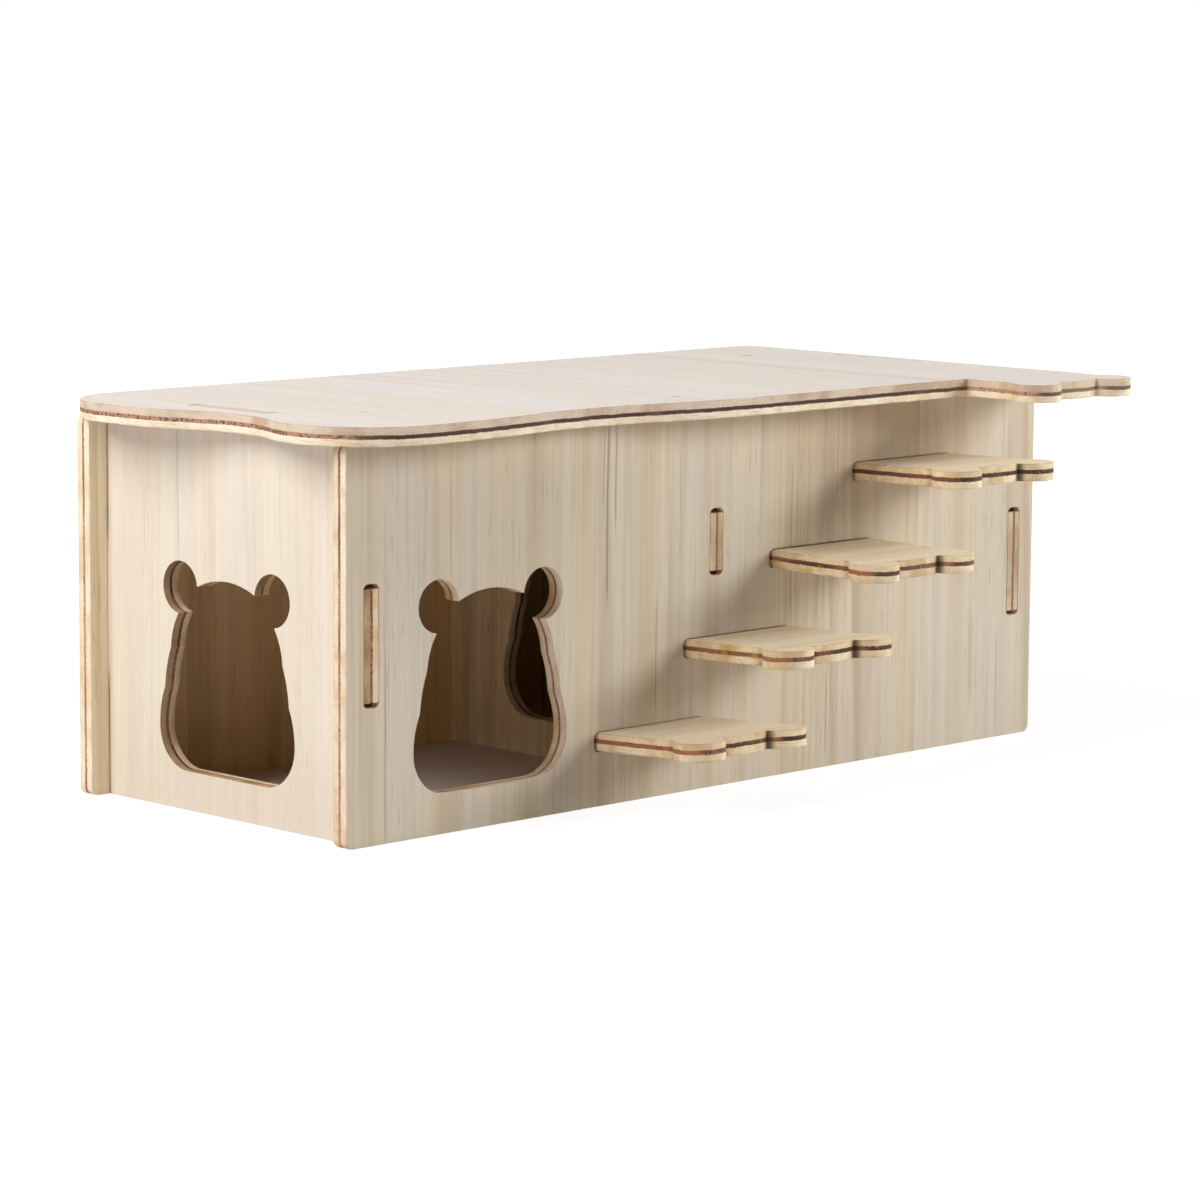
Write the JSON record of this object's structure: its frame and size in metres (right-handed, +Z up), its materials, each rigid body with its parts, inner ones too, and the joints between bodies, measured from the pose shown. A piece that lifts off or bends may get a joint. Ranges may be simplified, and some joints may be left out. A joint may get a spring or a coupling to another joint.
{
  "type": "hamster house",
  "caption": "Slotted plywood hamster house with an animal-shaped doorway in its front and left end, scalloped steps up the front and a lift-off roof with a wavy edge.",
  "frame": {"origin": "middle of the partition's bottom edge, which is the middle of the walls' footprint, on the surface that the house stands on", "axes": "+X along the front from left to right, +Y from the front to the back, +Z up"},
  "size_m": [0.3088, 0.1695, 0.1204],
  "materials": {
    "front_panel": "sanded bare plywood",
    "back_panel": "sanded bare plywood",
    "left_end_panel": "sanded bare plywood",
    "right_end_panel": "sanded bare plywood",
    "partition": "sanded bare plywood",
    "steps": "sanded bare plywood",
    "roof_panel": "sanded bare plywood"
  },
  "bodies": {
    "house": {"front_panel": "front_panel", "back_panel": "back_panel", "left_end_panel": "left_end_panel", "right_end_panel": "right_end_panel", "partition": "partition", "step_1": "steps", "step_2": "steps", "step_3": "steps", "step_4": "steps"},
    "roof": {"roof_panel": "roof_panel"}
  },
  "joints": [
    {"name": "roof_lift", "type": "slide", "parent": "house", "child": "roof", "axis": [0, 0, 1], "range_m": [0, 0.06]}
  ]
}
